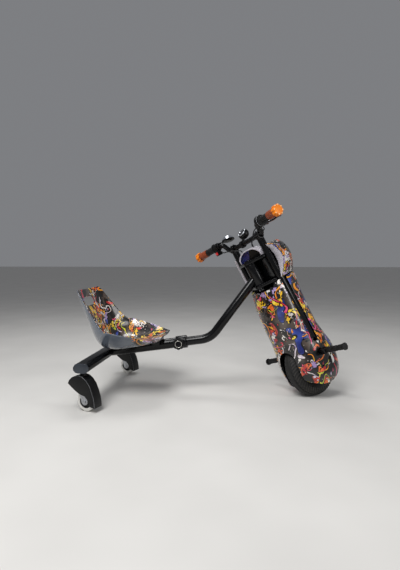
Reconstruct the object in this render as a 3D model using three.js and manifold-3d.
// Electric drift trike: a hub-motor front wheel in a raked, faired fork, a bent main tube that
// telescopes into the rear frame, a bucket seat and two hooded swivel castors.
// Millimetres. +X forward, +Y to the rider's left, +Z up. The origin is under the middle of the
// whole trike, on the floor. The front is steered to the left by steerAngle.

import * as THREE from 'three';
import { mergeVertices } from 'three/addons/utils/BufferGeometryUtils.js';
import Module from 'manifold-3d';

const wasm = await Module();
wasm.setup();

const degree = Math.PI / 180;

// Stance. X is first counted from the front axle with the wheel pointing straight ahead.
const castorSetback = 883;
const castorTrack = 556;
const beamHeight = 162;

// Clearances: between pieces that touch, between pieces that move, round a faceted bore, and how
// far a cutting tool runs past what it cuts.
const seatGap = 0.3;
const runningGap = 1;
const boreGap = 0.2;
const overrun = 10;

// Steering geometry
const rakeAngle = 27.6 * degree;
const steerAngle = 43.8 * degree;
const steerOffset = 37;

// Front wheel
const wheelRadius = 127;
const tyreWidth = 73;
const rimRadius = 72;
const axleRadius = 6;

// Fork, measured along the legs from the front axle
const legSpacing = 170;
const legRadius = 15;
const legBottom = 112;
const legTop = 565;
const legWall = 2;
const fairingTop = 385;
const headSpan = 108.5;
const legOuter = legSpacing / 2 + legRadius;

// Main and rear tubes
const mainRadius = 19;
const rearRadius = 22;
const tubeWall = 2.5;
const tubeClearance = 0.4;
const rearSlope = 8.3 * degree;
const mainSlope = 53.7 * degree;
const bendRadius = 95;
const collarFrontSetback = 528;

// Castors
const castorRadius = 38;
const castorWidth = 28;
const castorTrail = 19;
const rightHeading = -17 * degree;
const leftHeading = -20 * degree;

const finish = {
  frame: { color: 0x121214, roughness: 0.38, metalness: 0.25 },
  print: { color: 0x6b4a3c, roughness: 0.3, metalness: 0 },
  tyre: { color: 0x1a1a1b, roughness: 0.85, metalness: 0 },
  plastic: { color: 0x161618, roughness: 0.5, metalness: 0 },
  pale: { color: 0xd9d6d8, roughness: 0.45, metalness: 0 },
  steel: { color: 0xb4b6ba, roughness: 0.3, metalness: 0.9 },
  chrome: { color: 0xe6e8ea, roughness: 0.08, metalness: 1 },
  orange: { color: 0xe8641a, roughness: 0.35, metalness: 0 },
  red: { color: 0xd8262c, roughness: 0.35, metalness: 0 },
  white: { color: 0xe9e9e6, roughness: 0.4, metalness: 0 },
};

// Solids: each is a closed three.js geometry turned into a manifold for cutting and joining.
function solid(geometry) {
  const mergeTolerance = 1e-4;
  const bare = new THREE.BufferGeometry();
  bare.setAttribute('position', geometry.getAttribute('position').clone());
  if (geometry.index) bare.setIndex(geometry.index.clone());
  const merged = mergeVertices(bare, mergeTolerance);
  return new wasm.Manifold(new wasm.Mesh({
    numProp: 3,
    vertProperties: new Float32Array(merged.getAttribute('position').array),
    triVerts: new Uint32Array(merged.index.array),
  }));
}

// A solid from points and triangles, turned right side out where its faces point inwards.
function solidOf(points, index) {
  const geometry = new THREE.BufferGeometry();
  const flat = points.flatMap((point) => point.toArray());
  geometry.setAttribute('position', new THREE.Float32BufferAttribute(flat, 3));
  geometry.setIndex(index);
  const body = solid(geometry);
  if (body.volume() > 0) return body;
  geometry.setIndex(index.reverse());
  return solid(geometry);
}

function geometryOf(manifold) {
  const mesh = manifold.getMesh();
  const geometry = new THREE.BufferGeometry();
  geometry.setAttribute('position', new THREE.BufferAttribute(mesh.vertProperties, 3));
  geometry.setIndex(new THREE.BufferAttribute(mesh.triVerts, 1));
  geometry.computeVertexNormals();
  return geometry;
}

const cut = (body, ...tools) => tools.reduce((whole, tool) => whole.subtract(tool), body);
const join = (...bodies) => bodies.reduce((whole, body) => whole.add(body));

const at = (x, y, z) => new THREE.Vector3(x, y, z);
const upward = at(0, 0, 1);
const off = (point, direction, distance) => point.clone().addScaledVector(direction, distance);

function placed(geometry, position, direction) {
  const turn = new THREE.Quaternion();
  if (direction) turn.setFromUnitVectors(upward, direction.clone().normalize());
  const matrix = new THREE.Matrix4().compose(position, turn, at(1, 1, 1));
  return geometry.clone().applyMatrix4(matrix);
}

// A rod from one point to another, with as many sides as asked.
function rod(from, to, radius, sides = 16) {
  const run = to.clone().sub(from);
  const geometry = new THREE.CylinderGeometry(radius, radius, run.length(), sides);
  geometry.rotateX(Math.PI / 2);
  return solid(placed(geometry, from.clone().add(to).multiplyScalar(1 / 2), run));
}

// A box between any two opposite corners.
function block(one, other) {
  const size = at(Math.abs(other.x - one.x), Math.abs(other.y - one.y), Math.abs(other.z - one.z));
  const middle = one.clone().add(other).multiplyScalar(1 / 2);
  return solid(new THREE.BoxGeometry(size.x, size.y, size.z).translate(middle.x, middle.y, middle.z));
}

// A box set square to three given directions.
function turnedBlock(centre, axes, sizes) {
  const matrix = new THREE.Matrix4().makeBasis(...axes).setPosition(centre);
  return solid(new THREE.BoxGeometry(...sizes).applyMatrix4(matrix));
}

// A revolved profile of [radius, height] pairs, turned about the line from foot along direction.
function revolve(profile, foot, direction, sides = 16) {
  const points = profile.map(([radius, height]) => new THREE.Vector2(radius, height));
  const geometry = new THREE.LatheGeometry(points, sides);
  geometry.rotateX(Math.PI / 2);
  return solid(placed(geometry, foot, direction));
}

// A flat outline of pairs, extruded along Z between two heights.
function plate(outline, low, high) {
  const shape = new THREE.Shape(outline.map(([x, y]) => new THREE.Vector2(x, y)));
  const geometry = new THREE.ExtrudeGeometry(shape, { depth: high - low, bevelEnabled: false });
  return geometry.translate(0, 0, low);
}

// A flat outline of [along X, up] pairs, given a thickness across Y.
function slab(outline, fromY, toY) {
  return solid(plate(outline, -toY, -fromY).rotateX(Math.PI / 2));
}

// A flat outline of [along Y, up] pairs, given a length along X.
function bar(outline, fromX, toX) {
  return solid(plate(outline, fromX, toX).rotateX(Math.PI / 2).rotateZ(Math.PI / 2));
}

// Points on an arc, as [x, y] pairs.
function arcOf(centreX, centreY, radius, fromAngle, toAngle, steps) {
  return Array.from({ length: steps + 1 }, (_, i) => {
    const angle = fromAngle + (toAngle - fromAngle) * i / steps;
    return [centreX + radius * Math.cos(angle), centreY + radius * Math.sin(angle)];
  });
}

// A rectangle with rounded corners, as [x, y] pairs.
function roundedBox(centreX, centreY, halfX, halfY, corner, steps) {
  return [[1, 1], [-1, 1], [-1, -1], [1, -1]].flatMap(([sx, sy], i) => arcOf(
    centreX + sx * (halfX - corner), centreY + sy * (halfY - corner), corner,
    Math.PI * i / 2, Math.PI * (i + 1) / 2, steps));
}

// A closed loft through rings of points. The first and the last ring are flat and are capped.
function loft(rings) {
  const count = rings[0].length;
  const points = rings.flat();
  const index = [];
  for (let i = 0; i + 1 < rings.length; i += 1) {
    for (let j = 0; j < count; j += 1) {
      const a = i * count + j;
      const b = i * count + (j + 1) % count;
      index.push(a, b, b + count, a, b + count, a + count);
    }
  }
  const cap = (ring, base, flip) => {
    const middle = points.length;
    points.push(ring.reduce((sum, p) => sum.add(p), at(0, 0, 0)).multiplyScalar(1 / count));
    for (let j = 0; j < count; j += 1) {
      const pair = [base + j, base + (j + 1) % count];
      index.push(middle, ...(flip ? pair.reverse() : pair));
    }
  };
  cap(rings[0], 0, true);
  cap(rings[rings.length - 1], (rings.length - 1) * count, false);
  return solidOf(points, index);
}

// A round bar swept through stations along a path, each ring square to the path there.
function sweep(stations, radius, sides = 16) {
  const last = stations.length - 1;
  let side = null;
  const rings = stations.map((point, i) => {
    const before = stations[Math.max(i - 1, 0)];
    const after = stations[Math.min(i + 1, last)];
    const ahead = after.clone().sub(before).normalize();
    if (!side) side = Math.abs(ahead.y) > 1 / 2 ? at(1, 0, 0) : at(0, 1, 0);
    side = side.sub(ahead.clone().multiplyScalar(side.dot(ahead))).normalize();
    const up = ahead.clone().cross(side);
    return Array.from({ length: sides }, (_, k) => {
      const angle = 2 * Math.PI * (k + 1 / 2) / sides;
      return off(off(point, side, radius * Math.cos(angle)), up, radius * Math.sin(angle));
    });
  });
  return loft(rings);
}

// A corner between two straight runs, rounded by an arc of the given radius.
function roundedCorner(from, corner, to, radius, steps) {
  const inward = corner.clone().sub(from).normalize();
  const outward = to.clone().sub(corner).normalize();
  const turn = inward.angleTo(outward);
  const start = off(corner, inward, -radius * Math.tan(turn / 2));
  const normal = off(outward, inward, -outward.dot(inward)).normalize();
  const centre = off(start, normal, radius);
  return Array.from({ length: steps + 1 }, (_, i) => {
    const angle = turn * i / steps;
    return off(off(centre, normal, -radius * Math.cos(angle)), inward, radius * Math.sin(angle));
  });
}

function smoothLine(points, steps) {
  return new THREE.CatmullRomCurve3(points, false, 'centripetal').getPoints(steps);
}

// The value of a table of shares at a place from 0 to 1 along it.
function shareAt(shares, place) {
  const scaled = place * (shares.length - 1);
  const i = Math.min(Math.floor(scaled), shares.length - 2);
  return THREE.MathUtils.lerp(shares[i], shares[i + 1], scaled - i);
}

const trike = new THREE.Group();
const sides = [[-1, 'right'], [1, 'left']];

function add(parent, name, look, manifold) {
  const mesh = new THREE.Mesh(geometryOf(manifold), new THREE.MeshStandardMaterial(finish[look]));
  mesh.name = name;
  parent.add(mesh);
}

// The steering groups: Z runs up the steering axis, X forward from the front axle.
const steeringAxis = new THREE.Group();
steeringAxis.rotation.y = -rakeAngle;
trike.add(steeringAxis);
const steering = new THREE.Group();
steering.rotation.z = steerAngle;
steeringAxis.add(steering);
const fork = new THREE.Group();
fork.position.x = steerOffset;
steering.add(fork);

// Front tyre: a crowned section with two water grooves.
const treadRadiusShare = 0.86;
const shoulderShares = [1, 0.88, 0.66];
const grooveDepth = 2.5;
const grooveHalfWidth = 2;
const grooveOffset = 11;
const beadInset = 9.5;
const beadHalfWidth = tyreWidth / 2 - beadInset;
const wheelSides = 28;

function tyreProfile() {
  const half = tyreWidth / 2;
  const crown = (across) => {
    const lean = across / half;
    return wheelRadius - half * treadRadiusShare * (1 - Math.sqrt(Math.max(1 - lean * lean, 0)));
  };
  const groove = [
    [crown(-grooveOffset - grooveHalfWidth), -grooveOffset - grooveHalfWidth],
    [crown(-grooveOffset) - grooveDepth, -grooveOffset],
    [crown(-grooveOffset + grooveHalfWidth), -grooveOffset + grooveHalfWidth],
  ];
  const right = [...shoulderShares.map((share) => [crown(-half * share), -half * share]), ...groove];
  const left = right.map(([radius, across]) => [radius, -across]).reverse();
  const bead = [
    [rimRadius + seatGap, beadHalfWidth],
    [rimRadius + seatGap, -beadHalfWidth],
  ];
  return [...right, ...left, ...bead, right[0]];
}

// Hub motor: a drum with a dished face on each side and two flanges that hold the tyre.
const flangeHeight = 7;
const flangeRoom = 4;
const flangeThickness = 3.5;
const faceProud = 1.5;
const hubFaceRadius = 52;
const flangeInnerFace = beadHalfWidth + flangeRoom;
const flangeOuterFace = flangeInnerFace + flangeThickness;
const hubFace = flangeOuterFace + faceProud;

function addFrontWheel() {
  const across = at(0, 1, 0);
  const centre = at(0, 0, 0);
  add(fork, 'front_tyre', 'tyre', revolve(tyreProfile(), centre, across, wheelSides));
  const left = [
    [rimRadius, beadHalfWidth + 2 * seatGap],
    [rimRadius + flangeHeight, flangeInnerFace],
    [rimRadius + flangeHeight, flangeOuterFace],
    [rimRadius - flangeHeight, flangeOuterFace - faceProud],
    [hubFaceRadius, hubFace],
    [axleRadius + seatGap, hubFace],
  ];
  const right = left.map(([radius, height]) => [radius, -height]).reverse();
  const profile = [...right, ...left, right[0]];
  add(fork, 'hub_motor', 'steel', revolve(profile, centre, across, wheelSides));
}

// Dropouts: plates welded into the lower ends of the fork legs, which carry the axle and pegs.
const dropoutThickness = 8;
const dropoutInset = 1;
const dropoutInner = legSpacing / 2 - dropoutThickness - dropoutInset;
const dropoutOuter = dropoutInner + dropoutThickness;
const dropoutHalfWidth = 17;
const dropoutFootRadius = 22;
const pegHeight = 50;
const pegSetback = 6;
const pegBoltRadius = 5;

function addDropouts() {
  const foot = arcOf(0, 0, dropoutFootRadius, Math.PI, 2 * Math.PI, 6);
  const outline = [[dropoutHalfWidth, legBottom - seatGap], [-dropoutHalfWidth, legBottom - seatGap],
    ...foot];
  for (const [side, name] of sides) {
    const inner = side * (dropoutInner - overrun);
    const outer = side * (dropoutOuter + overrun);
    const whole = slab(outline, Math.min(side * dropoutInner, side * dropoutOuter),
      Math.max(side * dropoutInner, side * dropoutOuter));
    const axleHole = rod(at(0, inner, 0), at(0, outer, 0), axleRadius + seatGap + boreGap, 12);
    const pegHole = rod(at(-pegSetback, inner, pegHeight), at(-pegSetback, outer, pegHeight),
      pegBoltRadius + seatGap + boreGap, 10);
    add(fork, `dropout_${name}`, 'frame', cut(whole, axleHole, pegHole));
  }
}

// The axle turns nothing itself: shoulders and nuts hold it in the two dropouts.
const axleNutThickness = 6.5;
const axleNutRadius = 10;
const axleTip = 1;

function addAxle() {
  const end = dropoutOuter + axleNutThickness + axleTip;
  let axle = rod(at(0, -end, 0), at(0, end, 0), axleRadius, 10);
  for (const [side] of sides) {
    const face = dropoutOuter + seatGap;
    const nut = rod(at(0, side * face, 0), at(0, side * (face + axleNutThickness), 0),
      axleNutRadius, 6);
    const spacer = rod(at(0, side * (hubFace + runningGap), 0),
      at(0, side * (dropoutInner - seatGap), 0), axleNutRadius, 10);
    axle = join(axle, nut, spacer);
  }
  add(fork, 'front_axle', 'steel', axle);
}

// Yokes and steerer: the two plates that clamp the legs and turn in the head tube.
const yokeThickness = 12;
const yokeInset = 3;
const yokeClearance = 0.5;
const lowerYokeHeight = fairingTop + yokeThickness / 2 + yokeClearance;
const upperYokeHeight = lowerYokeHeight + headSpan;
const yokeBossWall = 8;
const yokeHubWall = 3;
const yokeRelief = 6;
const steererRadius = 12.7;
const headRadius = 25;
const headBore = 17;
const cupHeight = 10;

function yokeOutline() {
  const halfSpan = legSpacing / 2;
  const boss = legRadius + yokeBossWall;
  return [
    ...arcOf(0, -halfSpan, boss, -Math.PI, 0, 6),
    [boss - yokeRelief, 0],
    ...arcOf(0, halfSpan, boss, 0, Math.PI, 6),
    ...arcOf(-steerOffset, 0, headRadius + yokeHubWall, Math.PI * 0.7, Math.PI * 1.3, 6),
  ];
}

function addYokes() {
  const reach = legSpacing / 2 - yokeInset;
  for (const [name, height] of [['lower_yoke', lowerYokeHeight], ['upper_yoke', upperYokeHeight]]) {
    const low = height - yokeThickness / 2;
    const high = height + yokeThickness / 2;
    const whole = solid(plate(yokeOutline(), low, high));
    const trimmed = whole.intersect(block(at(-wheelRadius, -reach, 0), at(wheelRadius, reach, legTop)));
    const holes = sides.map(([side]) => rod(at(0, side * legSpacing / 2, low - overrun),
      at(0, side * legSpacing / 2, high + overrun), legRadius + seatGap, 16));
    const steererHole = rod(at(-steerOffset, 0, low - overrun), at(-steerOffset, 0, high + overrun),
      steererRadius + seatGap, 16);
    add(fork, name, 'frame', cut(trimmed, ...holes, steererHole));
  }
}

// Steerer: the shaft through the head tube, with a bevelled cap on the upper yoke.
const steererTail = 3;
const steererCapHeight = 6;
const steererCapProud = 6;
const steererCapBevel = 2;

function addSteerer() {
  const foot = at(-steerOffset, 0, lowerYokeHeight - yokeThickness / 2 - steererTail);
  const seat = upperYokeHeight + yokeThickness / 2 + seatGap - foot.z;
  const rim = steererRadius + steererCapProud;
  const profile = [[0, 0], [steererRadius, 0], [steererRadius, seat], [rim, seat],
    [rim, seat + steererCapHeight - steererCapBevel], [rim - steererCapBevel, seat + steererCapHeight],
    [0, seat + steererCapHeight]];
  add(fork, 'steerer_shaft', 'steel', revolve(profile, foot, upward));
}

function addLegs() {
  for (const [side, name] of sides) {
    const y = side * legSpacing / 2;
    const tube = rod(at(0, y, legBottom), at(0, y, legTop), legRadius, 16);
    const bore = rod(at(0, y, legBottom + overrun), at(0, y, legTop + overrun), legRadius - legWall, 12);
    add(fork, `fork_leg_${name}`, 'frame', cut(tube, bore));
  }
}

// Lower fairing: a printed shell round the wheel and legs, in a rear and a front half.
const fairingWall = 3;
const fairingBottom = -80;
const fairingHalfWidth = legOuter;
const fairingRear = 117;
const fairingFront = 134;
const fairingHeightShares = [0, 0.09, 0.17, 0.28, 0.39, 0.5, 0.66, 0.84, 1];
const fairingRearShares = [0.92, 0.97, 1, 0.98, 0.85, 0.76, 0.75, 0.63, 0.33];
const fairingFrontShares = [0.82, 0.93, 1, 0.98, 0.87, 0.76, 0.77, 0.85, 1];
const fairingWidthShares = [0.86, 0.94, 0.98, 1.01, 1, 1, 1, 1, 1];
const fairingSquareness = 2.5;
const fairingSides = 22;
const archHalfWidth = 46;
const archTop = 106;
const frontArchTop = 34;
const legRoom = 1.5;
const skirtRise = 25;
const skirtDrop = 105;
const skirtReach = 118;
const pegHoleRadius = 15;
const screwSetback = 27;
const screwDrop = 4;
const screwHoleRadius = 4;
const windowAhead = 36;
const windowDrop = 6;
const windowHalfLength = 20;
const windowHalfHeight = 17;
const windowCorner = 9;

// A corner of a rounded section: the coordinate keeps its sign and takes a power of its size.
const squared = (value) => Math.sign(value) * Math.abs(value) ** (2 / fairingSquareness);

function fairingRing(height, rear, front, half) {
  return Array.from({ length: fairingSides }, (_, k) => {
    const angle = 2 * Math.PI * (k + 1 / 2) / fairingSides;
    const depth = Math.cos(angle) > 0 ? front : rear;
    return at(depth * squared(Math.cos(angle)), half * squared(Math.sin(angle)), height);
  });
}

function fairingBody(inset, extra) {
  const last = fairingHeightShares.length - 1;
  return loft(fairingHeightShares.map((share, i) => {
    let height = THREE.MathUtils.lerp(fairingBottom, fairingTop, share);
    if (i === 0) height -= extra;
    if (i === last) height += extra;
    return fairingRing(height, fairingRear * fairingRearShares[i] - inset,
      fairingFront * fairingFrontShares[i] - inset,
      fairingHalfWidth * fairingWidthShares[i] - inset);
  }));
}

// A round-topped opening that runs out of the fairing along X.
function arch(fromX, toX, top) {
  const round = rod(at(fromX, 0, top - archHalfWidth), at(toX, 0, top - archHalfWidth),
    archHalfWidth, 20);
  const below = block(at(fromX, -archHalfWidth, 2 * fairingBottom), at(toX, archHalfWidth,
    top - archHalfWidth));
  return join(round, below);
}

// What the lower edge leaves off: all that lies below a long curve from front to rear.
function skirtTrim() {
  const bottom = 2 * fairingBottom;
  const wide = 2 * fairingFront;
  const curve = arcOf(0, 0, 1, Math.PI, 2 * Math.PI, 14)
    .map(([cosine, sine]) => [skirtReach * cosine, skirtRise + skirtDrop * sine]);
  const outline = [[-wide, skirtRise], ...curve, [wide, skirtRise], [wide, bottom], [-wide, bottom]];
  return slab(outline, -2 * fairingHalfWidth, 2 * fairingHalfWidth);
}

// The outer half of each leg stands in a slot in the side of the shell.
function legSlot(side) {
  const inner = side * (legSpacing / 2 - legRadius - overrun);
  const outer = side * 2 * fairingHalfWidth;
  const half = legRadius + legRoom;
  const run = block(at(-half, inner, legBottom), at(half, outer, fairingTop + overrun));
  return join(run, rod(at(0, inner, legBottom), at(0, outer, legBottom), half, 12));
}

function addFairings() {
  const wide = 2 * fairingHalfWidth;
  const reach = 2 * fairingFront;
  const across = (x, z, radius, count) => rod(at(x, -wide, z), at(x, wide, z), radius, count);
  const shell = cut(fairingBody(0, 0), fairingBody(fairingWall, overrun));
  const window = slab(roundedBox(windowAhead, -windowDrop, windowHalfLength, windowHalfHeight,
    windowCorner, 2), -wide, wide);
  const trimmed = cut(shell, legSlot(-1), legSlot(1), window, skirtTrim(),
    across(-pegSetback, pegHeight, pegHoleRadius, 12),
    across(-screwSetback, -screwDrop, screwHoleRadius, 8),
    arch(-reach, 0, archTop), arch(0, reach, frontArchTop));
  const low = 2 * fairingBottom;
  const high = 2 * fairingTop;
  const rearHalf = block(at(-reach, -wide, low), at(-seatGap / 2, wide, high));
  const frontHalf = block(at(seatGap / 2, -wide, low), at(reach, wide, high));
  add(fork, 'rear_fairing', 'print', trimmed.intersect(rearHalf));
  add(fork, 'front_fairing', 'print', trimmed.intersect(frontHalf));
}

// Nose cover: the printed shield in front of the head, open towards the rider.
const noseStand = 6;
const noseHeight = 145;
const noseBottom = fairingTop + noseStand;
const noseTop = noseBottom + noseHeight;
const noseSpread = 1.36;
const noseHalfWidth = noseSpread * legOuter;
const noseFront = 136;
const noseHeightShares = [0, 0.22, 0.45, 0.65, 0.85, 1];
const noseRearShares = [-0.09, 0.02, 0.1, 0.1, 0.04, -0.06];
const noseFrontShares = [0.98, 1, 0.99, 0.97, 0.95, 0.9];
const noseWidthShares = [0.77, 0.9, 0.99, 1, 0.93, 0.8];
const noseBackShares = [0.8, 0.4, 0, -0.4, -0.8];
const noseSteps = 10;
const batteryFrontShare = 0.7;

function noseRing(height, front, half, rear) {
  const depth = front - rear;
  const curve = Array.from({ length: noseSteps + 1 }, (_, k) => {
    const angle = -Math.PI / 2 + Math.PI * k / noseSteps;
    return at(rear + depth * squared(Math.max(Math.cos(angle), 0)), half * squared(Math.sin(angle)),
      height);
  });
  return [...curve, ...noseBackShares.map((share) => at(rear, half * share, height))];
}

function noseBody(inset) {
  return loft(noseHeightShares.map((share, i) => {
    const height = THREE.MathUtils.lerp(noseBottom, noseTop, share) - inset;
    return noseRing(height, noseFront * noseFrontShares[i] - inset,
      noseHalfWidth * noseWidthShares[i] - inset, noseFront * noseRearShares[i] + inset);
  }));
}

// The back of the cover closes in to a flange beside each leg.
function addNose() {
  const flangeEdge = legOuter + runningGap;
  const ceiling = noseTop - fairingWall;
  const doorwayReach = noseFront * Math.max(...noseRearShares) + fairingWall + overrun;
  const legSpace = block(at(-noseFront, -flangeEdge, 0), at(legRadius + runningGap, flangeEdge, 2 * legTop));
  const doorway = block(at(-noseFront, -flangeEdge, 0), at(doorwayReach, flangeEdge, ceiling));
  add(fork, 'nose_cover', 'print', cut(noseBody(0), noseBody(fairingWall), doorway, legSpace));
}

// Dash panel: an arched cap between the legs, with a pale rim towards the rider.
const dashRear = 20;
const dashWeb = 3;
const dashRim = 6;
const dashDrop = 9;
const dashRise = 26;
const dashSquareness = 3;
const dashSteps = 10;
const dashHalf = legSpacing / 2 - legRadius - runningGap;
const dashShoulder = noseTop - dashDrop;

function dashHeight(y) {
  return dashShoulder + dashRise * (1 - Math.abs(y / dashHalf) ** dashSquareness);
}

function addDash() {
  const foot = upperYokeHeight + yokeThickness / 2 + seatGap;
  const top = Array.from({ length: dashSteps + 1 }, (_, i) => {
    const y = dashHalf * (1 - 2 * i / dashSteps);
    return [y, dashHeight(y)];
  });
  const innerShare = (dashHalf - dashRim) / dashHalf;
  const under = top.map(([y, height]) => [y * innerShare, height - dashRim]);
  const front = legRadius;
  const middle = -dashRear / 2;
  const cap = bar([[-dashHalf, foot], [dashHalf, foot], ...top], -dashRear, front);
  const hollowOutline = [[-dashHalf + dashRim, 0], [dashHalf - dashRim, 0], ...under];
  const rearHollow = bar(hollowOutline, -2 * dashRear, middle);
  const frontHollow = bar(hollowOutline, middle + dashWeb, 2 * front);
  add(fork, 'dash_panel', 'pale', cut(cap, rearHollow, frontHollow));
}

// Battery box: the black case between the legs, ahead of the head tube.
const batterySideGap = 2;
const batteryHeadGap = 3;
const batteryCorner = 12;

function addBattery() {
  const halfWidth = legSpacing / 2 - legRadius - batterySideGap;
  const rear = headRadius - steerOffset + batteryHeadGap;
  const front = noseFront * batteryFrontShare;
  const outline = roundedBox((front + rear) / 2, 0, (front - rear) / 2, halfWidth, batteryCorner, 3);
  const low = lowerYokeHeight + yokeThickness / 2 + seatGap;
  const high = upperYokeHeight - yokeThickness / 2 - seatGap;
  add(fork, 'battery_box', 'plastic', solid(plate(outline, low, high)));
}

// Foot pegs: a ribbed peg that folds up on a clevis bolted to each dropout.
const pegHingeStand = 22;
const pegLength = 102;
const pegHinge = legOuter + pegHingeStand;
const pegOuter = pegHinge + pegLength;
const pegRadius = 12;
const pegStemRadius = 11;
const pegEarThickness = 5;
const pegEarGap = 16;
const pegEarReach = 10;
const pegWebThickness = 5;
const pegTongueRadius = 8;
const pegPinRadius = 3;
const pegPinProud = 2;
const pegBoltTail = 4;
const pegBarStart = 16;
const pegRibs = 3;
const pegRibDepth = 3;
const pegRibRamp = 2;
const pegFlange = 5;
const pegRibShare = 0.58;

function addPegBracket(side, name) {
  const x = -pegSetback;
  const place = (dx, y, dz = 0) => at(x + dx, side * y, pegHeight + dz);
  const webFar = pegHinge - pegTongueRadius - pegRibDepth;
  const webNear = webFar - pegWebThickness;
  const outer = pegEarGap / 2 + pegEarThickness;
  const stem = rod(place(0, dropoutOuter + seatGap), place(0, webFar - pegWebThickness / 2),
    pegStemRadius, 12);
  const bolt = rod(place(0, dropoutInner - pegBoltTail), place(0, webNear), pegBoltRadius, 10);
  const web = block(place(-outer, webNear, -pegStemRadius), place(outer, webFar, pegStemRadius));
  const ears = [-1, 1].map((lean) => block(
    place(lean * pegEarGap / 2, webFar - pegWebThickness / 2, -pegStemRadius),
    place(lean * outer, pegHinge + pegEarReach, pegStemRadius)));
  const pin = rod(place(-outer - pegPinProud, pegHinge), place(outer + pegPinProud, pegHinge),
    pegPinRadius, 8);
  add(fork, `peg_bracket_${name}`, 'frame', join(stem, bolt, web, ...ears, pin));
}

function addFootPeg(side, name) {
  const x = -pegSetback;
  const start = pegHinge + pegBarStart;
  const length = pegOuter - start;
  const core = pegRadius - pegRibDepth;
  const pitch = (length - pegFlange) / pegRibs;
  const rib = pitch * pegRibShare;
  const profile = [[0, 0], [core, 0]];
  for (let i = 0; i < pegRibs; i += 1) {
    const from = i * pitch + (pitch - rib) / 2;
    profile.push([pegRadius, from], [pegRadius, from + rib - pegRibRamp], [core, from + rib]);
  }
  profile.push([core, length - pegFlange], [pegRadius + pegRibDepth, length - pegFlange],
    [pegRadius + pegRibDepth, length], [0, length]);
  const barBody = revolve(profile, at(x, side * start, pegHeight), at(0, side, 0), 10);
  const half = (pegEarGap - runningGap) / 2;
  const neck = block(at(x - half, side * pegHinge, pegHeight - pegTongueRadius),
    at(x + half, side * (start + pegRibRamp), pegHeight + pegTongueRadius));
  const eye = rod(at(x - half, side * pegHinge, pegHeight), at(x + half, side * pegHinge, pegHeight),
    pegTongueRadius, 12);
  const pinHole = rod(at(x - pegEarGap, side * pegHinge, pegHeight),
    at(x + pegEarGap, side * pegHinge, pegHeight), pegPinRadius + seatGap + boreGap, 8);
  add(fork, `foot_peg_${name}`, 'plastic', cut(join(barBody, neck, eye), pinHole));
}

// Handlebar: a one-piece riser bar, clamped on the leg tops and swept back to the grips.
const barRadius = 11;
const barStand = 18;
const gripRise = 43;
const gripReach = 154;
const riserStand = 11;
const riserLean = 5;
const barBend = 15;
const barSweep = 20;
const gripSweep = 45;
const barCentreHeight = legTop + barStand;
const gripHeight = barCentreHeight + gripRise;
const riserFoot = legOuter + riserStand;
const riserTop = riserFoot + riserLean;
const gripEnd = riserTop + gripReach;
const barBore = barRadius + seatGap + boreGap;

function barPath() {
  const foot = at(0, riserFoot, barCentreHeight);
  const shoulder = at(-barSweep, riserTop, gripHeight);
  const end = at(-gripSweep, gripEnd, gripHeight);
  const left = [
    ...roundedCorner(at(0, 0, barCentreHeight), foot, shoulder, barBend, 2),
    ...roundedCorner(foot, shoulder, end, barBend, 2),
    end,
  ];
  return [...left.map((point) => at(point.x, -point.y, point.z)).reverse(), ...left];
}

// The outward direction of a grip, and a point on its line counted inwards from the bar's end.
function gripAxis(side) {
  return at(barSweep - gripSweep, side * (gripEnd - riserTop), 0).normalize();
}

function gripPoint(side, fromEnd) {
  return off(at(-gripSweep, side * gripEnd, gripHeight), gripAxis(side), -fromEnd);
}

function gripSleeve(side, fromEnd, toEnd, radius, count) {
  const outer = rod(gripPoint(side, fromEnd), gripPoint(side, toEnd), radius, count);
  const inner = rod(gripPoint(side, fromEnd - overrun), gripPoint(side, toEnd + overrun), barBore, 12);
  return cut(outer, inner);
}

// Bar clamps: a collar on each leg top with a ring round the bar and a plug down the leg.
const clampWall = 6.5;
const clampWidth = 25;
const plugDepth = 20;
const plugRise = 5;
const plugGap = 1;

function addClamps() {
  for (const [side, name] of sides) {
    const y = side * legSpacing / 2;
    const spread = clampWidth / 2 + overrun;
    const plug = rod(at(0, y, legTop - plugDepth), at(0, y, legTop + plugRise),
      legRadius - legWall - plugGap, 10);
    const collar = rod(at(0, y, legTop + seatGap), at(0, y, barCentreHeight), legRadius, 12);
    const ring = rod(at(0, y - clampWidth / 2, barCentreHeight), at(0, y + clampWidth / 2,
      barCentreHeight), barRadius + clampWall, 16);
    const bore = rod(at(0, y - spread, barCentreHeight), at(0, y + spread, barCentreHeight), barBore, 12);
    add(fork, `bar_clamp_${name}`, 'frame', cut(join(plug, collar, ring), bore));
  }
}

// Orange bar ends: a sleeve over the bar with a toothed crown and a closed outer face.
const capLength = 58;
const gripRadius = 16;
const capProud = 1;
const crownLength = 14;
const crownFace = 6;
const crownTeeth = 8;
const crownTip = 22;
const crownToothDepth = 3;
const crownToothShares = [[0, 0], [0.14, 1], [0.46, 1], [0.6, 0]];

function addBarEnds() {
  const outline = [];
  for (let i = 0; i < crownTeeth; i += 1) {
    for (const [place, height] of crownToothShares) {
      const angle = 2 * Math.PI * (i + place) / crownTeeth;
      const radius = crownTip - crownToothDepth * (1 - height);
      outline.push([radius * Math.cos(angle), radius * Math.sin(angle)]);
    }
  }
  for (const [side, name] of sides) {
    const axis = gripAxis(side);
    const crown = solid(placed(plate(outline, 0, crownLength + crownFace),
      gripPoint(side, crownLength), axis));
    const sleeve = rod(gripPoint(side, capLength), gripPoint(side, crownLength - crownFace / 2),
      gripRadius + capProud, 14);
    const bore = rod(gripPoint(side, capLength + overrun), gripPoint(side, -seatGap), barBore, 12);
    add(fork, `bar_end_${name}`, 'orange', cut(join(sleeve, crown), bore));
  }
}

// Grips: ribbed sleeves inside the bar ends. The right one turns as the throttle.
const gripLength = 50;
const gripRibs = 3;
const gripRibDepth = 2;
const gripFlange = 4;
const gripFlangeProud = 6;

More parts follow.
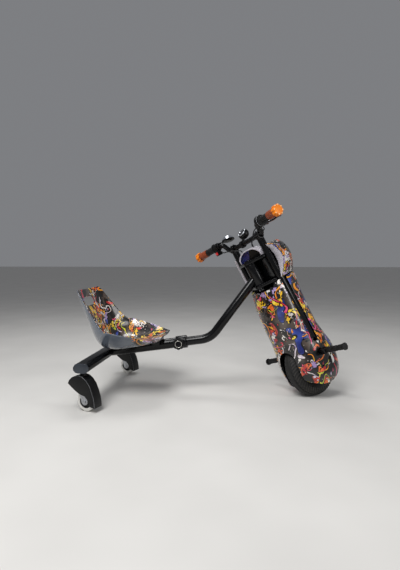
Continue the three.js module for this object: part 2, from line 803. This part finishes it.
function addGrips() {
  const pitch = (gripLength - 2 * gripFlange) / gripRibs;
  const profile = [[barBore, 0], [gripRadius, 0]];
  for (let i = 0; i < gripRibs; i += 1) {
    const from = gripFlange / 2 + i * pitch;
    profile.push([gripRadius, from], [gripRadius - gripRibDepth, from + pitch / 3]);
  }
  profile.push([gripRadius, gripLength - gripFlange - runningGap],
    [gripRadius + gripFlangeProud, gripLength - gripFlange],
    [gripRadius + gripFlangeProud, gripLength], [barBore, gripLength], [barBore, 0]);
  for (const [side, name] of [[-1, 'twist_grip'], [1, 'grip_left']]) {
    const start = gripPoint(side, capLength + seatGap + runningGap);
    add(fork, name, 'plastic', revolve(profile, start, gripAxis(side).negate(), 12));
  }
}

// Throttle housing: a round case beside the twist grip.
const housingStart = capLength + gripLength + 3 * runningGap;
const housingLength = 19;
const housingRadius = 25;

// Brake perch and lever on the right, reaching forward and down from the bar.
const leverDip = 19.3 * degree;
const perchWidth = 9;
const perchReach = 40;
const perchDepth = 14;
const perchWall = 6;
const bossRadius = 8;
const barrelReach = 17;
const barrelLength = 10;
const barrelRadius = 4.5;
const leverPinRadius = 2.5;
const bladeRoom = 4.3;
const leverLength = 78;
const leverBow = 11;
const leverRadius = 4;
const leverTipRadius = 5.5;
const leverShares = [[0, 0], [0.19, 0.73], [0.47, 1], [0.79, 0.64], [1, 0.91]];

// Where the brake perch sits on the bar, and which ways it points.
function perchFrame() {
  const start = gripPoint(-1, housingStart + housingLength + seatGap);
  const inward = gripAxis(-1).negate();
  const up = at(Math.cos(leverDip), 0, -Math.sin(leverDip)).cross(inward).normalize();
  const ahead = inward.clone().cross(up);
  const middle = off(start, inward, perchWidth / 2);
  const pivot = off(middle, ahead, perchReach);
  const adjusterEnd = off(off(middle, ahead, barrelReach), inward, barrelLength + seatGap);
  return { start, inward, ahead, up, middle, pivot, adjusterEnd };
}

function addBrake() {
  const { start, inward, ahead, up, middle, pivot } = perchFrame();
  const end = off(start, inward, perchWidth);
  const square = [ahead, inward, up];
  const bossHalf = bossRadius;
  const clampRing = rod(start, end, barRadius + perchWall, 14);
  const arm = turnedBlock(off(middle, ahead, perchReach / 2), square,
    [perchReach, perchWidth - runningGap, perchDepth]);
  const boss = rod(off(pivot, up, -bossHalf), off(pivot, up, bossHalf), bossRadius, 10);
  const bladeSlot = turnedBlock(pivot, square, [3 * bossRadius, 2 * perchReach, 2 * bladeRoom]);
  const pinHole = rod(off(pivot, up, -perchDepth), off(pivot, up, perchDepth),
    leverPinRadius + seatGap, 8);
  const bore = rod(off(start, inward, -overrun), off(end, inward, overrun), barBore, 12);
  const pin = rod(off(pivot, up, -bossHalf - runningGap), off(pivot, up, bossHalf + runningGap),
    leverPinRadius, 8);
  const barrelFoot = off(middle, ahead, barrelReach);
  const barrel = rod(barrelFoot, off(barrelFoot, inward, barrelLength), barrelRadius, 6);
  const perch = cut(join(clampRing, barrel, cut(join(arm, boss), bladeSlot)), bore);
  add(fork, 'brake_perch', 'frame', join(perch, pin));

  const outward = gripAxis(-1);
  const points = leverShares.map(([reach, bow]) => off(off(pivot, outward, reach * leverLength),
    ahead, bow * leverBow));
  const blade = sweep(smoothLine(points, 7), leverRadius, 6);
  const tip = solid(placed(new THREE.SphereGeometry(leverTipRadius, 8, 5), points[points.length - 1]));
  const eye = rod(off(pivot, up, seatGap - bladeRoom), off(pivot, up, bladeRoom - seatGap),
    bossRadius, 10);
  add(fork, 'brake_lever', 'frame', cut(join(blade, tip, eye), pinHole));
}

// Switch housing on the left, with a pod under the bar and its red button facing the rider.
const switchLength = 20;
const switchRadius = 19;
const podDrop = 24;
const podSetback = 6;
const podHalfLength = 12;
const podHalfWidth = 8;
const podHalfHeight = 14;
const podLift = 2;
const buttonHalf = 6;
const buttonGap = 0.4;
const buttonProud = 4;
const buttonDepth = 3;
const buttonTravel = 3;
const buttonDrop = 2;

function podCentre() {
  return gripPoint(1, housingStart + switchLength / 2 + runningGap)
    .add(at(-podSetback, 0, -podDrop));
}

function addSwitch() {
  const ring = gripSleeve(1, housingStart, housingStart + switchLength, switchRadius, 16);
  const pod = podCentre();
  const low = pod.clone().add(at(-podHalfLength, -podHalfWidth, podLift - podHalfHeight));
  const high = pod.clone().add(at(podHalfLength, podHalfWidth, podLift + podHalfHeight));
  const barRoom = rod(gripPoint(1, housingStart - overrun),
    gripPoint(1, housingStart + switchLength + overrun), barBore, 12);
  const face = pod.clone().add(at(-podHalfLength, 0, -buttonDrop));
  const wellHalf = buttonHalf + buttonGap;
  const well = block(face.clone().add(at(-runningGap, -wellHalf, -wellHalf)),
    face.clone().add(at(buttonDepth + buttonTravel, wellHalf, wellHalf)));
  const button = block(face.clone().add(at(-buttonProud, -buttonHalf, -buttonHalf)),
    face.clone().add(at(buttonDepth, buttonHalf, buttonHalf)));
  add(fork, 'throttle_housing', 'plastic',
    gripSleeve(-1, housingStart, housingStart + housingLength, housingRadius, 20));
  add(fork, 'switch_housing', 'plastic', cut(join(ring, block(low, high)), barRoom, well));
  add(fork, 'red_button', 'red', button);
}

// Bell: a black base on an arm from the left of the bar, a chrome dome and a thumb lever.
const bellRadius = 29;
const bellBaseHeight = 8;
const bellDomeHeight = 18;
const bellRim = 2;
const bellAhead = 38;
const bellInboard = 25;
const bellLean = 17 * degree;
const bellStrapWidth = 8;
const bellStrapWall = 4;
const bellStrapStart = housingStart + switchLength + 2 * runningGap;
const bellDomeShares = [[1, 0.15], [0.88, 0.55], [0.55, 0.88]];
const bellLeverLength = 40;
const bellLeverHalfWidth = 4;
const bellLeverRadius = 6;
const bellLeverThickness = 4;

function bellSeat() {
  const grip = gripPoint(1, bellStrapStart + bellStrapWidth / 2);
  return at(grip.x + bellAhead, grip.y - bellInboard, gripHeight + barRadius + runningGap);
}

// The bell is turned forward about the bar, so that its dome faces up.
function addBell() {
  const grip = gripPoint(1, bellStrapStart + bellStrapWidth / 2);
  const bell = new THREE.Group();
  bell.quaternion.setFromAxisAngle(gripAxis(1), bellLean);
  bell.position.copy(grip).sub(grip.clone().applyQuaternion(bell.quaternion));
  fork.add(bell);
  const seat = bellSeat();
  const strap = rod(gripPoint(1, bellStrapStart), gripPoint(1, bellStrapStart + bellStrapWidth),
    barRadius + bellStrapWall, 16);
  const bore = rod(gripPoint(1, bellStrapStart - overrun),
    gripPoint(1, bellStrapStart + bellStrapWidth + overrun), barBore, 12);
  const along = at(bellAhead, -bellInboard, 0).normalize();
  const run = Math.hypot(bellAhead, bellInboard);
  const armMiddle = off(at(grip.x, grip.y, gripHeight + barRadius + bellStrapWall / 2), along, run / 2);
  const arm = turnedBlock(armMiddle, [along, at(-along.y, along.x, 0), upward],
    [run, bellStrapWidth, bellStrapWall]);
  const base = revolve([[0, 0], [bellRadius - bellBaseHeight, 0], [bellRadius, bellBaseHeight / 2],
    [bellRadius, bellBaseHeight], [0, bellBaseHeight]], seat, upward, 20);
  add(bell, 'bell_base', 'plastic', cut(join(strap, arm, base), bore));

  const rim = bellRadius - bellRim;
  const dome = bellDomeShares.map(([wide, high]) => [rim * wide, bellDomeHeight * high]);
  add(bell, 'bell_dome', 'chrome', revolve([[0, 0], [rim, 0], ...dome, [0, bellDomeHeight]],
    off(seat, upward, bellBaseHeight + seatGap), upward, 20));

  // The thumb lever turns on a post under the inner edge of the base.
  const pivot = at(seat.x, seat.y - bellRadius + 2 * bellLeverRadius, seat.z - seatGap);
  const eye = rod(pivot, off(pivot, upward, -bellLeverThickness), bellLeverRadius, 12);
  const thumb = block(pivot.clone().add(at(-bellLeverLength, -bellLeverHalfWidth, -bellLeverThickness)),
    pivot.clone().add(at(0, bellLeverHalfWidth, -runningGap)));
  add(bell, 'bell_lever', 'plastic', join(eye, thumb));
}

// Display: a round pod on a short stalk from a clamp at the middle of the bar.
const displayRadius = 24;
const displayDepth = 28;
const displayOffset = 22;
const displayAhead = 34;
const displayLift = 36;
const displayTilt = 33 * degree;
const displayClampWidth = 14;
const displayClampWall = 5;
const stalkRadius = 6;
const displayShares = [[0.7, -1], [1, -0.3], [1, 0.6], [0.85, 1]];

function addDisplay() {
  const foot = at(0, displayOffset, barCentreHeight);
  const half = displayClampWidth / 2;
  const beside = (distance) => foot.clone().add(at(0, distance, 0));
  const ring = rod(beside(-half), beside(half), barRadius + displayClampWall, 14);
  const bore = rod(beside(-half - overrun), beside(half + overrun), barBore, 12);
  const centre = foot.clone().add(at(displayAhead, 0, displayLift));
  const stalk = rod(foot, centre, stalkRadius, 8);
  const facing = at(-Math.sin(displayTilt), 0, Math.cos(displayTilt));
  const depth = displayDepth / 2;
  const wall = displayShares.map(([wide, high]) => [displayRadius * wide, depth * high]);
  const pod = revolve([[0, -depth], ...wall, [0, depth]], centre, facing, 18);
  add(fork, 'display', 'plastic', cut(join(ring, stalk, pod), bore));
}

// Cables, held at both ends: from each control along the bar and down into the dash panel.
const cableRadius = 2.6;
const cableSteps = 14;

// Points of each route: shares of the bar's rise ahead of and above the bar's centre, and shares of
// half the leg spacing across. A landing is the place on the dash where a cable ends.
const brakeRouteShares = [[0.33, -1.25, 0.77], [0.37, -0.94, 0.72], [0.51, -0.65, 0.67],
  [0.56, -0.4, 0.35], [0.42, -0.26, -0.12]];
const throttleRouteShares = [[-0.79, -1.44, 0.02], [-0.88, -1.18, -0.02], [-0.79, -0.85, -0.12],
  [-0.51, -0.61, -0.3]];
const switchRouteShares = [[-0.79, 1.39, 0.16], [-0.84, 1.18, 0.12], [-0.7, 0.85, -0.07],
  [-0.47, 0.59, -0.3]];
const brakeLandingShares = [0.09, -0.24];
const throttleLandingShares = [-0.28, -0.47];
const switchLandingShares = [-0.28, 0.42];

function cableEnd([ahead, across]) {
  const x = ahead * gripRise;
  const y = across * legSpacing / 2;
  const tilt = Math.abs(dashHeight(y + cableRadius) - dashHeight(y - cableRadius)) / 2;
  const landing = at(x, y, dashHeight(y) + tilt + seatGap);
  return [off(landing, upward, overrun), landing];
}

function addCables() {
  const route = (shares) => shares.map(([ahead, across, above]) => at(ahead * gripRise,
    across * legSpacing / 2, barCentreHeight + above * gripRise));
  const { adjusterEnd, ahead, inward } = perchFrame();
  const throttleExit = off(gripPoint(-1, housingStart + housingLength / 2), upward,
    -housingRadius - seatGap);
  const pod = podCentre();
  const switchExit = at(pod.x, pod.y - podHalfWidth - seatGap, pod.z);
  const routes = {
    brake_cable: [adjusterEnd, off(adjusterEnd, inward, overrun / 3),
      off(off(adjusterEnd, inward, overrun), ahead, overrun / 2),
      ...route(brakeRouteShares), ...cableEnd(brakeLandingShares)],
    throttle_cable: [throttleExit, off(throttleExit, upward, -overrun),
      ...route(throttleRouteShares), ...cableEnd(throttleLandingShares)],
    switch_cable: [switchExit, off(switchExit, at(0, 1, 0), -overrun),
      ...route(switchRouteShares), ...cableEnd(switchLandingShares)],
  };
  for (const [name, points] of Object.entries(routes)) {
    add(fork, name, 'plastic', sweep(smoothLine(points, cableSteps), cableRadius, 6));
  }
}

// Head tube on the frame side, with its cups. It stays still while the fork turns.
const headLow = lowerYokeHeight + yokeThickness / 2 + cupHeight / 2;
const headHigh = upperYokeHeight - yokeThickness / 2 - cupHeight / 2;
const cupSeatWall = 4;

function addHead() {
  const onAxis = (height) => at(0, 0, height);
  const seatRadius = headBore + cupSeatWall;
  const tube = rod(onAxis(headLow), onAxis(headHigh), headRadius, 20);
  const bore = rod(onAxis(headLow - overrun), onAxis(headHigh + overrun), headBore, 12);
  const seats = [
    rod(onAxis(headLow - overrun), onAxis(headLow + cupHeight / 2), seatRadius, 16),
    rod(onAxis(headHigh - cupHeight / 2), onAxis(headHigh + overrun), seatRadius, 16),
  ];
  add(steeringAxis, 'head_tube', 'frame', cut(tube, bore, ...seats));
  for (const [name, end, way] of [['lower_headset', headLow, 1], ['upper_headset', headHigh, -1]]) {
    const foot = onAxis(end - way * (cupHeight / 2 - runningGap));
    const inner = steererRadius + seatGap + boreGap;
    const lip = cupHeight / 2 - runningGap - seatGap;
    const top = cupHeight - runningGap - 2 * seatGap;
    const sleeve = seatRadius - 2 * seatGap;
    const profile = [[inner, 0], [headRadius, 0], [headRadius, lip], [sleeve, lip], [sleeve, top],
      [inner, top], [inner, 0]];
    add(steeringAxis, name, 'steel', revolve(profile, foot, at(0, 0, way), 16));
  }
}

addFrontWheel();
addDropouts();
addAxle();
addYokes();
addSteerer();
addLegs();
addFairings();
addNose();
addDash();
addBattery();
for (const [side, name] of sides) {
  addPegBracket(side, name);
  addFootPeg(side, name);
}
add(fork, 'handlebar', 'frame', sweep(barPath(), barRadius, 12));
addClamps();
addBarEnds();
addGrips();
addBrake();
addSwitch();
addBell();
addDisplay();
addCables();
addHead();

// Lower the steered front until its tyre touches the floor.
trike.updateMatrixWorld(true);
const tyreFloor = new THREE.Box3().setFromObject(fork.getObjectByName('front_tyre'), true).min.z;
steeringAxis.position.set(-steerOffset * Math.cos(rakeAngle), 0, -tyreFloor);
trike.updateMatrixWorld(true);

// Frame tubes, in the trike's own frame. The rear run meets the cross beam's front.
const tubeJointHeight = 42.5;
const weldRise = 2.7;
const beamWidth = 60;
const beamDepth = 36;
const rearRun = castorSetback - collarFrontSetback;
const rearAxisHeight = beamHeight + weldRise + rearRun * Math.tan(rearSlope);
const axisUp = at(-Math.sin(rakeAngle), 0, Math.cos(rakeAngle));
const onHead = (height) => off(steeringAxis.position, axisUp, height);
const headJoint = onHead(lowerYokeHeight + tubeJointHeight);
const rearward = at(-Math.cos(rearSlope), 0, -Math.sin(rearSlope));
const collarFront = at(-collarFrontSetback, 0, rearAxisHeight);
const alongRear = (distance) => off(collarFront, rearward, distance);

// Where the sloping run and the rear run meet, before the bend is rounded.
function bendCorner() {
  const climb = at(Math.cos(mainSlope), 0, Math.sin(mainSlope));
  const dx = headJoint.x - collarFront.x;
  const dz = headJoint.z - collarFront.z;
  const run = (dx * climb.z - dz * climb.x) / (rearward.x * climb.z - rearward.z * climb.x);
  return alongRear(run);
}

// Main tube: it slides into the rear tube by innerInsert and is hollow at that end.
const innerInsert = 250;
const slideRoom = 30;
const hollowShare = 0.4;

function addMainTube() {
  const tail = alongRear(innerInsert);
  const bend = roundedCorner(tail, bendCorner(), headJoint, bendRadius, 6);
  const outer = sweep([tail, ...bend, headJoint], mainRadius);
  const inner = rod(alongRear(innerInsert + overrun), alongRear(innerInsert * (1 - hollowShare)),
    mainRadius - tubeWall, 12);
  const headRoom = rod(onHead(lowerYokeHeight), onHead(upperYokeHeight + headSpan),
    headRadius + seatGap, 20);
  add(trike, 'main_tube', 'frame', cut(outer, inner, headRoom));
}

// Rear tube: from the clamp collar to a saddle round the cross beam.
const collarLip = 4;
const saddleDepth = 7;

function addRearTube() {
  const back = rearRun / Math.cos(rearSlope) - beamWidth / 2 + saddleDepth;
  const tube = rod(alongRear(collarLip), alongRear(back), rearRadius, 20);
  const bore = rod(alongRear(-overrun), alongRear(innerInsert + slideRoom),
    mainRadius + tubeClearance, 20);
  add(trike, 'rear_tube', 'frame', cut(tube, bore, beamBody(seatGap, overrun)));
}

// Cross beam: a flat-sided oval tube, with the castor stems under its ends.
const beamWall = 3;
const beamOverhang = 20;
const beamHalf = castorTrack / 2 + beamOverhang;
const stemRadius = 8;
const stemRise = 8;
const socketWall = 4;
const socketDrop = 5;
const capPlug = 6;
const capLid = 5;
const socketFoot = beamHeight - beamDepth / 2 - socketDrop;

function beamBody(grow, extra) {
  const flat = (beamWidth - beamDepth) / 2;
  const radius = beamDepth / 2 + grow;
  const outline = [...arcOf(flat, 0, radius, -Math.PI / 2, Math.PI / 2, 5),
    ...arcOf(-flat, 0, radius, Math.PI / 2, Math.PI * 3 / 2, 5)];
  return slab(outline, -beamHalf - extra, beamHalf + extra).translate(-castorSetback, 0, beamHeight);
}

function addBeam() {
  let beam = cut(beamBody(0, 0), beamBody(-beamWall, overrun));
  for (const [side] of sides) {
    const column = (height) => at(-castorSetback, side * castorTrack / 2, height);
    const socket = rod(column(socketFoot), column(beamHeight + (beamDepth - beamWall) / 2),
      stemRadius + socketWall, 10);
    const bore = rod(column(socketFoot - overrun), column(beamHeight + stemRise + runningGap),
      stemRadius + seatGap + boreGap, 20);
    beam = cut(join(beam, socket), bore);
  }
  add(trike, 'rear_beam', 'frame', beam);
  const lidWhole = beamBody(0, overrun);
  const plugWhole = beamBody(-beamWall - seatGap, overrun);
  for (const [side, name] of sides) {
    const zone = (from, to) => block(at(-2 * castorSetback, side * from, 0),
      at(0, side * to, 2 * beamHeight));
    const plug = plugWhole.intersect(zone(beamHalf - capPlug, beamHalf + capLid / 2));
    const lid = lidWhole.intersect(zone(beamHalf + seatGap, beamHalf + capLid));
    add(trike, `beam_cap_${name}`, 'plastic', join(plug, lid));
  }
}

// Clamp collar on the front end of the rear tube, with its knob on the right.
const collarLength = 46;
const collarWall = 5;
const collarRadius = rearRadius + collarWall;
const knobSetback = 30;
const knobReach = 34;
const knobBossRadius = 12;
const knobRadius = 25;
const knobDepth = 16;
const knobLobes = 8;
const knobLobeDepth = 3.2;
const knobScrewRadius = 4;
const recessRadius = 18;
const recessDepth = 3;
const ringInner = 10;
const ringHeight = 5;
const ringBevel = 1.5;

function addClamp() {
  const centre = alongRear(knobSetback);
  const outboard = (distance) => centre.clone().add(at(0, -distance, 0));
  const ring = rod(alongRear(0), alongRear(collarLength), collarRadius, 18);
  const rearRoom = rod(alongRear(collarLip - seatGap), alongRear(collarLength + overrun),
    rearRadius + seatGap + boreGap, 20);
  const mainRoom = rod(alongRear(-overrun), alongRear(overrun), mainRadius + tubeClearance + boreGap, 18);
  const boss = rod(outboard(collarRadius - collarWall), outboard(knobReach), knobBossRadius, 12);
  const screwHole = rod(outboard(knobReach + overrun), centre, knobScrewRadius + seatGap + boreGap, 10);
  add(trike, 'clamp_collar', 'frame', cut(join(ring, boss), rearRoom, mainRoom, screwHole));
}

function addKnob() {
  const centre = alongRear(knobSetback);
  const outboard = (distance) => centre.clone().add(at(0, -distance, 0));
  const outward = at(0, -1, 0);
  const face = knobReach + runningGap;
  const count = knobLobes * 4;
  const outline = Array.from({ length: count }, (_, i) => {
    const angle = 2 * Math.PI * i / count;
    const radius = knobRadius - knobLobeDepth / 2 * (1 - Math.cos(knobLobes * angle));
    return [radius * Math.cos(angle), radius * Math.sin(angle)];
  });
  const knob = solid(placed(plate(outline, 0, knobDepth), outboard(face), outward));
  const screw = rod(outboard(face + runningGap), outboard(rearRadius + runningGap), knobScrewRadius, 10);
  const floor = face + knobDepth - recessDepth;
  const recess = rod(outboard(floor), outboard(floor + overrun), recessRadius, 18);
  add(trike, 'clamp_knob', 'plastic', cut(join(knob, screw), recess));
  const ringOuter = recessRadius - 2 * seatGap;
  const profile = [[ringInner, 0], [ringOuter, 0], [ringOuter - ringBevel, ringHeight],
    [ringInner + ringBevel, ringHeight], [ringInner, 0]];
  add(trike, 'knob_ring', 'steel', revolve(profile, outboard(floor + seatGap), outward, 18));
}

// Bucket seat: one moulded shell. Rows run from the front lip to the top of the backrest.
const seatThickness = 4;
const seatAhead = 43;
const seatStand = 6.6;
const seatDepth = 237;
const seatRise = 236;
const seatHalfWidth = 205;
const seatBolster = 80;
const seatSquareness = 5;
const seatDip = 13;
const seatRows = 12;
const seatColumns = 10;
const slotHalfLength = 34;
const slotRadius = 19;
const slotRowShare = 0.86;

// Shares of seatDepth ahead of the pan, of seatRise above it, of the half width, of the bolster and
// of the dip for each thigh beside the tube.
const seatForwardShares = [0.9, 0.77, 0.56, 0.27, 0, -0.16, -0.27, -0.36, -0.46, -0.535, -0.585];
const seatUpShares = [0.15, 0.125, 0.075, 0.02, 0, 0.08, 0.24, 0.445, 0.66, 0.85, 1];
const seatWidthShares = [0.73, 0.84, 0.94, 1.02, 1.02, 0.98, 0.9, 0.81, 0.76, 0.71, 0.62];
const seatLiftShares = [0, 0.12, 0.53, 0.9, 1.05, 1.02, 0.82, 0.63, 0.48, 0.36, 0.2];
const seatDipShares = [0.3, 0.7, 1, 1, 1, 0.8, 0.4, 0, 0, 0, 0];

// The lowest point of the pan's upper face, above the rear tube.
function seatPan() {
  const axisHeight = beamHeight + weldRise + seatAhead * Math.tan(rearSlope);
  return at(seatAhead - castorSetback, 0, axisHeight + rearRadius / Math.cos(rearSlope)
    + seatStand + seatThickness);
}

function seatPoint(row, across) {
  const pan = seatPan();
  const spine = new THREE.SplineCurve(seatForwardShares.map((share, i) => new THREE.Vector2(
    pan.x + share * seatDepth, pan.z + seatUpShares[i] * seatRise)));
  const point = spine.getPoint(row);
  const tangent = spine.getTangent(row);
  const lift = seatBolster * shareAt(seatLiftShares, row) * Math.abs(across) ** seatSquareness;
  const dip = seatDip * shareAt(seatDipShares, row) * Math.sin(Math.PI * across) ** 2;
  const half = seatHalfWidth * shareAt(seatWidthShares, row);
  const rise = lift - dip;
  return at(point.x + tangent.y * rise, half * across, point.y - tangent.x * rise);
}

// The outward direction of the shell at a place on it, from two short steps.
function seatNormal(row, across) {
  const step = 1e-3;
  const alongRow = seatPoint(Math.min(row + step, 1), across)
    .sub(seatPoint(Math.max(row - step, 0), across));
  const acrossRow = seatPoint(row, Math.min(across + step, 1))
    .sub(seatPoint(row, Math.max(across - step, -1)));
  return alongRow.cross(acrossRow).normalize();
}

function seatShell() {
  const inner = [];
  const outer = [];
  for (let i = 0; i <= seatRows; i += 1) {
    for (let j = 0; j <= seatColumns; j += 1) {
      const row = i / seatRows;
      const across = Math.sin(Math.PI * (j / seatColumns - 1 / 2));
      const here = seatPoint(row, across);
      inner.push(here);
      outer.push(off(here, seatNormal(row, across), seatThickness));
    }
  }
  const count = seatColumns + 1;
  const base = inner.length;
  const index = [];
  const quad = (a, b, c, d) => index.push(a, b, c, a, c, d);
  for (let i = 0; i < seatRows; i += 1) {
    const right = i * count;
    const left = right + seatColumns;
    for (let j = 0; j < seatColumns; j += 1) {
      const a = right + j;
      quad(a, a + 1, a + 1 + count, a + count);
      quad(base + a, base + a + count, base + a + 1 + count, base + a + 1);
    }
    quad(right, right + count, base + right + count, base + right);
    quad(left, base + left, base + left + count, left + count);
  }
  for (let j = 0; j < seatColumns; j += 1) {
    const top = seatRows * count + j;
    quad(j, base + j, base + j + 1, j + 1);
    quad(top, top + 1, base + top + 1, base + top);
  }
  return solidOf([...inner, ...outer], index);
}

// The oblong hand hole in the backrest, cut square through the shell.
function addSeat(shell) {
  const centre = seatPoint(slotRowShare, 0);
  const through = seatNormal(slotRowShare, 0);
  const reach = 2 * slotRadius;
  const ends = [-1, 1].map((side) => {
    const end = centre.clone().add(at(0, side * slotHalfLength, 0));
    return rod(off(end, through, -reach), off(end, through, reach), slotRadius, 12);
  });
  const middle = placed(new THREE.BoxGeometry(2 * slotRadius, 2 * slotHalfLength, 2 * reach),
    centre, through);
  add(trike, 'seat_shell', 'print', cut(shell, ...ends, solid(middle)));
}

// Seat brackets: saddles on the rear tube whose upper faces follow the shell.
const frontBracketSetback = 130;
const rearBracketSetback = 262;
const bracketHalfLength = 18;
const bracketHalfWidth = 48;
const bracketHeight = 60;
const saddleShare = 0.3;

function addSeatBrackets(shell) {
  const brackets = [['seat_bracket_front', frontBracketSetback],
    ['seat_bracket_rear', rearBracketSetback]];
  for (const [name, setback] of brackets) {
    const foot = alongRear(setback);
    const low = at(foot.x - bracketHalfLength, -bracketHalfWidth, foot.z + rearRadius * saddleShare);
    const high = at(foot.x + bracketHalfLength, bracketHalfWidth, foot.z + bracketHeight);
    const tubeRoom = rod(alongRear(setback - bracketHeight), alongRear(setback + bracketHeight),
      rearRadius + seatGap, 20);
    let body = cut(block(low, high), tubeRoom);
    for (let lift = -seatGap; lift < bracketHeight; lift += seatThickness - seatGap) {
      body = cut(body, shell.translate(0, 0, lift));
    }
    const pieces = body.decompose();
    const lowest = pieces.reduce((best, piece) => (
      piece.boundingBox().min[2] < best.boundingBox().min[2] ? piece : best));
    add(trike, name, 'frame', lowest);
  }
}

// Castors: a stem and fork, a plastic hood over them, and a white wheel.
const castorForkRise = 20;
const castorForkTop = 2 * castorRadius + castorForkRise;
const castorLegGap = 1.5;
const castorLegThickness = 3;
const castorPlateHalf = 13;
const castorPlateThickness = 4;
const castorEyeRadius = 14;
const castorEyeStart = 20 * degree;
const castorAxleRadius = 4;
const castorNutRadius = 7;
const castorNutProud = 4;
const stemShoulder = 3;
const hoodReach = castorRadius + 29;
const hoodGap = 5;
const hoodTop = socketFoot - hoodGap;
const hoodHalf = 23;
const hoodWall = 2.5;
const hoodStemGap = 0.8;
const castorTyreInner = 26;
const castorTyreBevel = 4;
const castorBoss = 12;
const castorDish = 3;
const castorSides = 20;

// Shares of hoodReach ahead of the stem and of hoodTop above the floor.
const hoodOuterShares = [[-0.81, 0.75], [-0.66, 0.89], [-0.36, 0.98], [0, 1], [0.33, 0.94],
  [0.63, 0.78], [0.85, 0.54], [0.97, 0.31], [1, 0.13]];
const hoodInnerShares = [[0.66, 0.17], [0.56, 0.3], [0.36, 0.43], [0.09, 0.47], [-0.24, 0.54],
  [-0.81, 0.75]];
const hoodMouthShares = [[-0.9, 0.72], [-0.24, 0.47], [0.66, 0.14], [0.985, 0.075], [0.6, -0.15],
  [-1.2, 0.45]];

function addCastorFork(swivel, name, hub) {
  const inner = castorWidth / 2 + castorLegGap;
  const outer = inner + castorLegThickness;
  const onStem = (height) => at(0, 0, height);
  const shoulder = socketFoot - runningGap;
  const foot = castorForkTop - castorPlateThickness / 2;
  const stem = join(rod(onStem(foot), onStem(beamHeight + stemRise), stemRadius, 12),
    rod(onStem(foot), onStem(shoulder), stemRadius + stemShoulder, 12));
  const top = block(at(-castorPlateHalf, -outer, castorForkTop - castorPlateThickness),
    at(castorPlateHalf, outer, castorForkTop));
  const outline = [[-castorPlateHalf, castorForkTop - runningGap],
    [castorPlateHalf, castorForkTop - runningGap],
    ...arcOf(hub.x, hub.z, castorEyeRadius, castorEyeStart, castorEyeStart - Math.PI, 5)];
  const legs = [slab(outline, inner, outer), slab(outline, -outer, -inner)];
  const axleReach = outer + castorNutProud;
  const axle = rod(at(hub.x, -axleReach, hub.z), at(hub.x, axleReach, hub.z), castorAxleRadius, 8);
  const nuts = sides.map(([side]) => rod(at(hub.x, side * (inner + runningGap), hub.z),
    at(hub.x, side * axleReach, hub.z), castorNutRadius, 6));
  add(swivel, `castor_fork_${name}`, 'steel', join(stem, top, ...legs, axle, ...nuts));
}

// Hood: two side walls joined by a curved outer wall, open below and behind.
function addCastorHood(swivel, name) {
  const sized = ([x, z]) => [x * hoodReach, z * hoodTop];
  const curve = (shares, steps) => new THREE.SplineCurve(shares.map((pair) => (
    new THREE.Vector2(...sized(pair))))).getPoints(steps).map((point) => [point.x, point.y]);
  const outline = [...curve(hoodOuterShares, 11), ...curve(hoodInnerShares, 7).slice(0, -1)];
  const insideHalf = hoodHalf - hoodWall;
  const room = slab(outline, -insideHalf, insideHalf).translate(-hoodWall, 0, -3 * hoodWall / 2);
  const mouth = slab(hoodMouthShares.map(sized), -insideHalf, insideHalf);
  const stemHole = rod(at(0, 0, castorForkTop), at(0, 0, hoodTop + overrun),
    stemRadius + stemShoulder + hoodStemGap, 12);
  add(swivel, `castor_hood_${name}`, 'plastic',
    cut(slab(outline, -hoodHalf, hoodHalf), room, mouth, stemHole));
}

function addCastorWheel(swivel, name, hub) {
  const wheel = new THREE.Group();
  swivel.add(wheel);
  const across = at(0, 1, 0);
  const half = castorWidth / 2;
  const inner = castorTyreInner + seatGap;
  const section = [[inner, -half], [castorRadius - castorTyreBevel, -half],
    [castorRadius, -half + castorTyreBevel], [castorRadius, half - castorTyreBevel],
    [castorRadius - castorTyreBevel, half], [inner, half], [inner, -half]];
  add(wheel, `castor_tyre_${name}`, 'white', revolve(section, hub, across, castorSides));
  const bore = castorAxleRadius + seatGap + boreGap;
  const profile = [[bore, -half], [castorBoss, -half], [castorTyreInner, castorDish - half],
    [castorTyreInner, half - castorDish], [castorBoss, half], [bore, half], [bore, -half]];
  add(wheel, `castor_hub_${name}`, 'plastic', revolve(profile, hub, across, castorSides));
}

function addCastor(side, name) {
  const swivel = new THREE.Group();
  swivel.position.set(-castorSetback, side * castorTrack / 2, 0);
  swivel.rotation.z = side < 0 ? rightHeading : leftHeading;
  trike.add(swivel);
  const hub = at(castorTrail, 0, castorRadius);
  addCastorFork(swivel, name, hub);
  addCastorHood(swivel, name);
  addCastorWheel(swivel, name, hub);
}

addMainTube();
addRearTube();
addBeam();
addClamp();
addKnob();
const shell = seatShell();
addSeat(shell);
addSeatBrackets(shell);
for (const [side, name] of sides) addCastor(side, name);

// Put the origin on the floor, under the middle of the whole trike.
trike.updateMatrixWorld(true);
const extent = new THREE.Box3().setFromObject(trike, true);
const middle = extent.getCenter(at(0, 0, 0));
trike.position.set(-middle.x, -middle.y, -extent.min.z);

export default trike;
